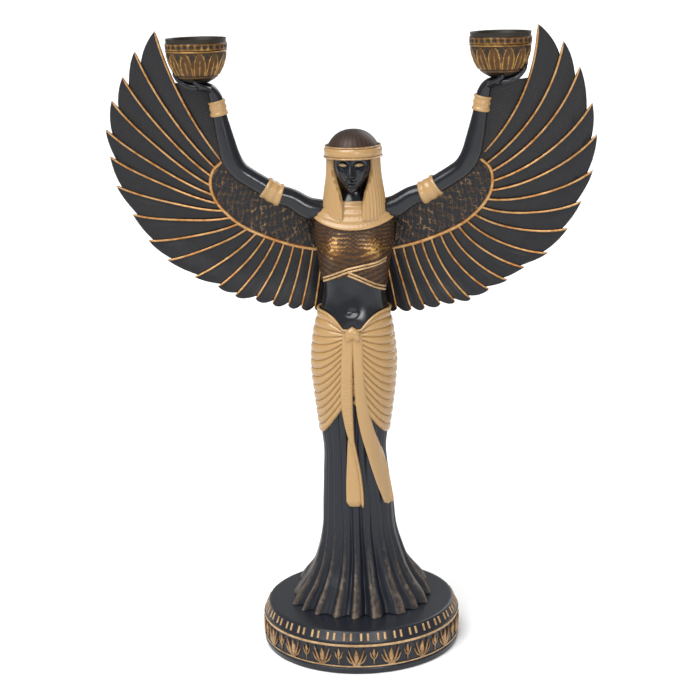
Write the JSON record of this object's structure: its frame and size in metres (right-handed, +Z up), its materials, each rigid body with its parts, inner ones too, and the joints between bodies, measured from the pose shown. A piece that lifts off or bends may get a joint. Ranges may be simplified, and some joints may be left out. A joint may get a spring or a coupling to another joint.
{
  "type": "winged goddess statue with candle bowls",
  "caption": "Standing winged goddess figure on a round lotus plinth, arms raised in front of spread wings, each palm holding a hollow lotus bowl for a candle.",
  "frame": {"origin": "middle of the plinth's round underside", "axes": "+Z up, +X to the right for someone who faces the statue, +Y from the face to the back of the head"},
  "size_m": [0.3935, 0.1676, 0.5159],
  "materials": {
    "black_satin": "cast resin with satin blue-black paint, dry-brushed with brown gold on the folds",
    "feather_black": "cast resin with satin blue-black paint, quills and border painted gold",
    "antique_gold": "cast resin with antique gold paint, darker in the recesses"
  },
  "bodies": {
    "root": {"plinth": "black_satin", "figure": "black_satin", "wing_left": "feather_black", "wing_right": "feather_black", "bowl_left": "antique_gold", "bowl_right": "antique_gold"}
  },
  "joints": []
}
